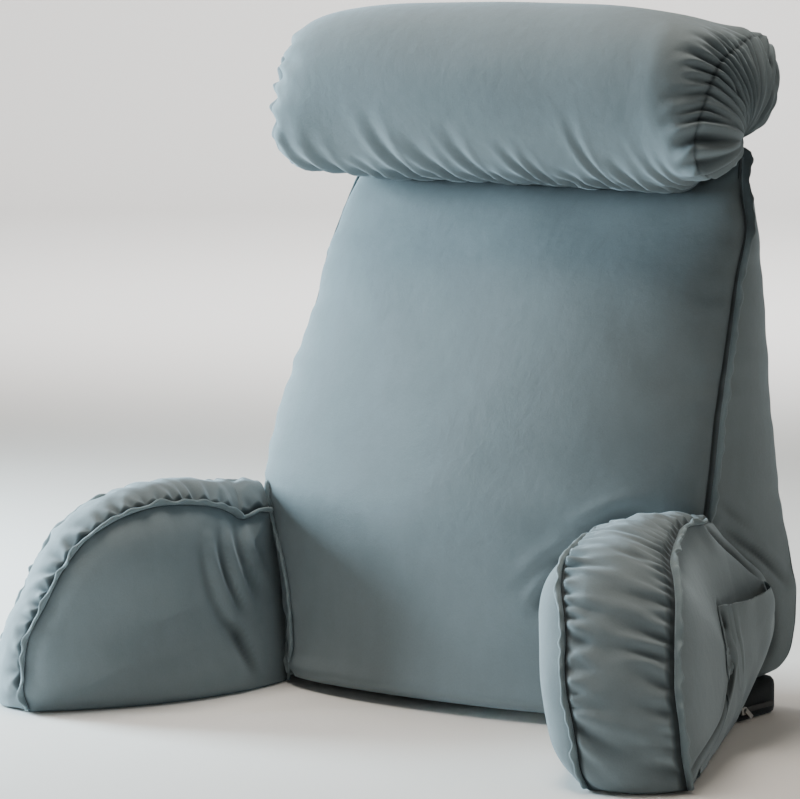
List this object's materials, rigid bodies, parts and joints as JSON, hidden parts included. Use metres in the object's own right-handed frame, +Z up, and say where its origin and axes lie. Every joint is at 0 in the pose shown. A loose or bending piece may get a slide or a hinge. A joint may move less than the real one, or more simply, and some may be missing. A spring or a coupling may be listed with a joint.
{
  "type": "reading pillow",
  "caption": "Backrest pillow for reading: a wedge-shaped filled back with two D-shaped gathered arms, a gathered neck roll on top and a patch pocket on one arm.",
  "frame": {"origin": "on the floor, under the middle of the whole pillow", "axes": "+Z up, -Y the way the pillow faces, +X towards the arm with the pocket"},
  "size_m": [0.8165, 0.4977, 0.699],
  "materials": {
    "slate_cloth": "brushed",
    "seam_cloth": "brushed",
    "dark_cloth": "matt",
    "zip_chain": "matt",
    "zip_metal": "satin"
  },
  "bodies": {
    "root": {"back_cushion": "slate_cloth", "base_panel": "dark_cloth", "left_arm": "slate_cloth", "right_arm": "slate_cloth", "neck_roll": "slate_cloth", "front_seam_left": "seam_cloth", "front_seam_right": "seam_cloth", "left_arm_seam_inner": "seam_cloth", "left_arm_seam_outer": "seam_cloth", "right_arm_seam_inner": "seam_cloth", "right_arm_seam_outer": "seam_cloth", "pocket": "slate_cloth", "zip_chain": "zip_chain", "zip_slider": "zip_metal", "zip_pull": "zip_metal"}
  },
  "joints": []
}
